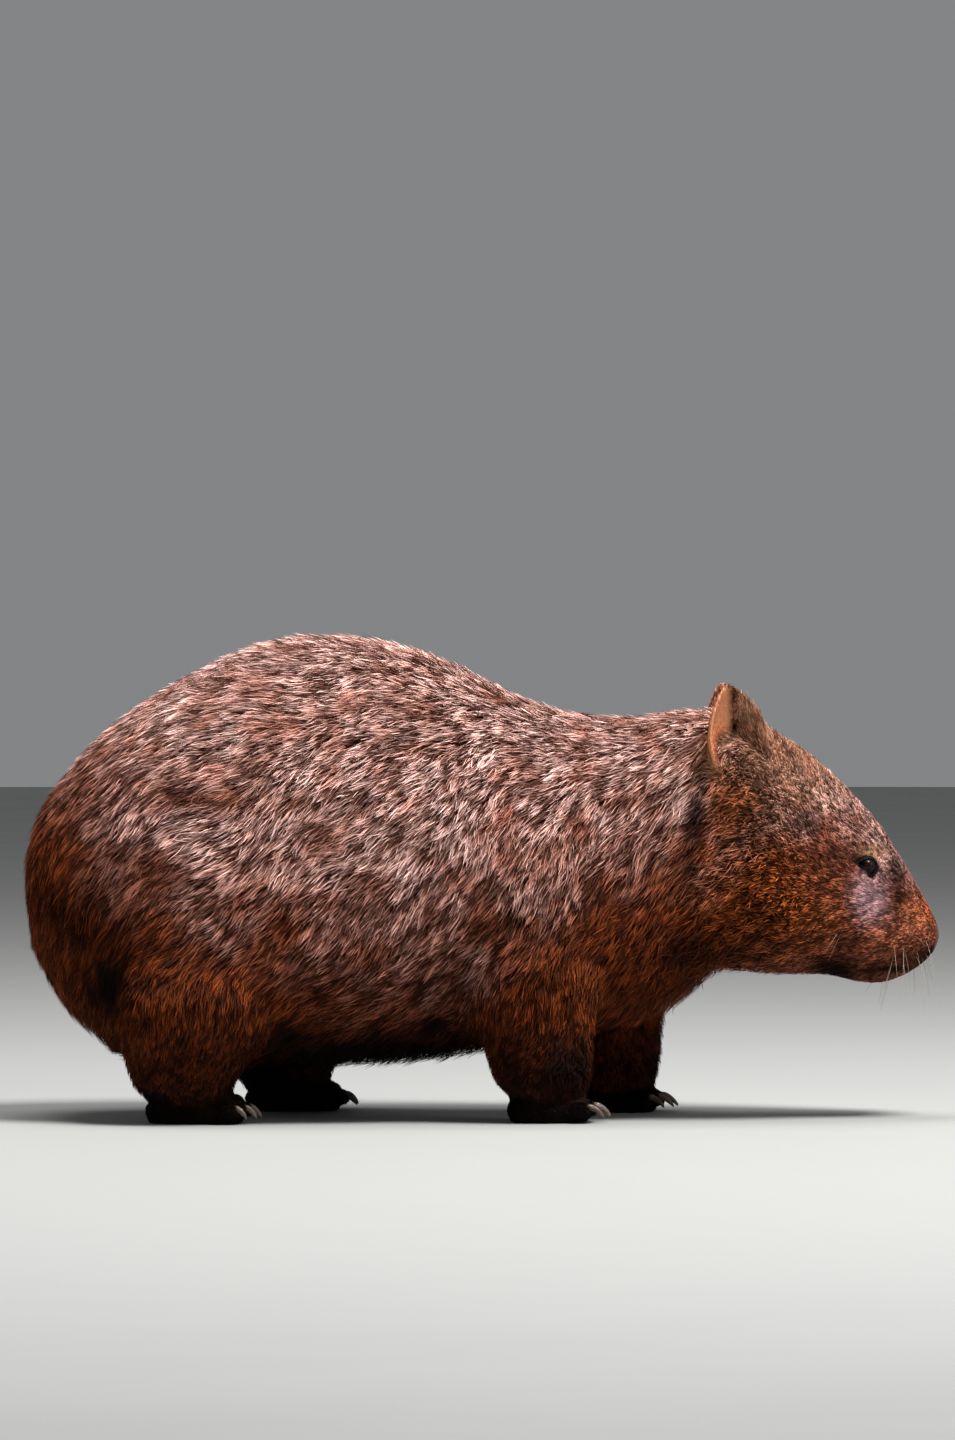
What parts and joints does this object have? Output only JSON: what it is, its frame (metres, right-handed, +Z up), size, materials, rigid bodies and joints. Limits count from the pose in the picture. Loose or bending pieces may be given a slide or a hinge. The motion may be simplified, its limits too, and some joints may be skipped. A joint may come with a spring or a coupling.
{
  "type": "common wombat",
  "caption": "Life-size standing adult common wombat with a shaggy brown coat, a still animal model on four short legs.",
  "frame": {"origin": "on the floor, under the middle of the whole model's box", "axes": "+X ahead, towards the nose; +Y to the animal's left; +Z up from the soles"},
  "size_m": [0.826, 0.326, 0.4381],
  "materials": {
    "coat": "coarse grizzled reddish-brown fur",
    "ear": "thin skin with short pale-orange fur",
    "nose": "bare, finely pebbled and slightly moist",
    "eye": "wet and glossy, near black",
    "claw": "dull horn with fine lengthwise streaks"
  },
  "bodies": {
    "root": {"trunk": "coat", "neck": "coat", "head": "coat", "lower_jaw": "coat", "nose_pad": "nose", "tail": "coat", "ear_right": "ear", "eye_right": "eye", "ear_left": "ear", "eye_left": "eye", "fore_leg_right": "coat", "fore_foot_right": "coat", "fore_claw_right_1": "claw", "fore_claw_right_2": "claw", "fore_claw_right_3": "claw", "fore_claw_right_4": "claw", "fore_claw_right_5": "claw", "fore_leg_left": "coat", "fore_foot_left": "coat", "fore_claw_left_1": "claw", "fore_claw_left_2": "claw", "fore_claw_left_3": "claw", "fore_claw_left_4": "claw", "fore_claw_left_5": "claw", "hind_leg_right": "coat", "hind_foot_right": "coat", "hind_claw_right_2": "claw", "hind_claw_right_3": "claw", "hind_claw_right_4": "claw", "hind_claw_right_5": "claw", "hind_leg_left": "coat", "hind_foot_left": "coat", "hind_claw_left_2": "claw", "hind_claw_left_3": "claw", "hind_claw_left_4": "claw", "hind_claw_left_5": "claw"}
  },
  "joints": []
}
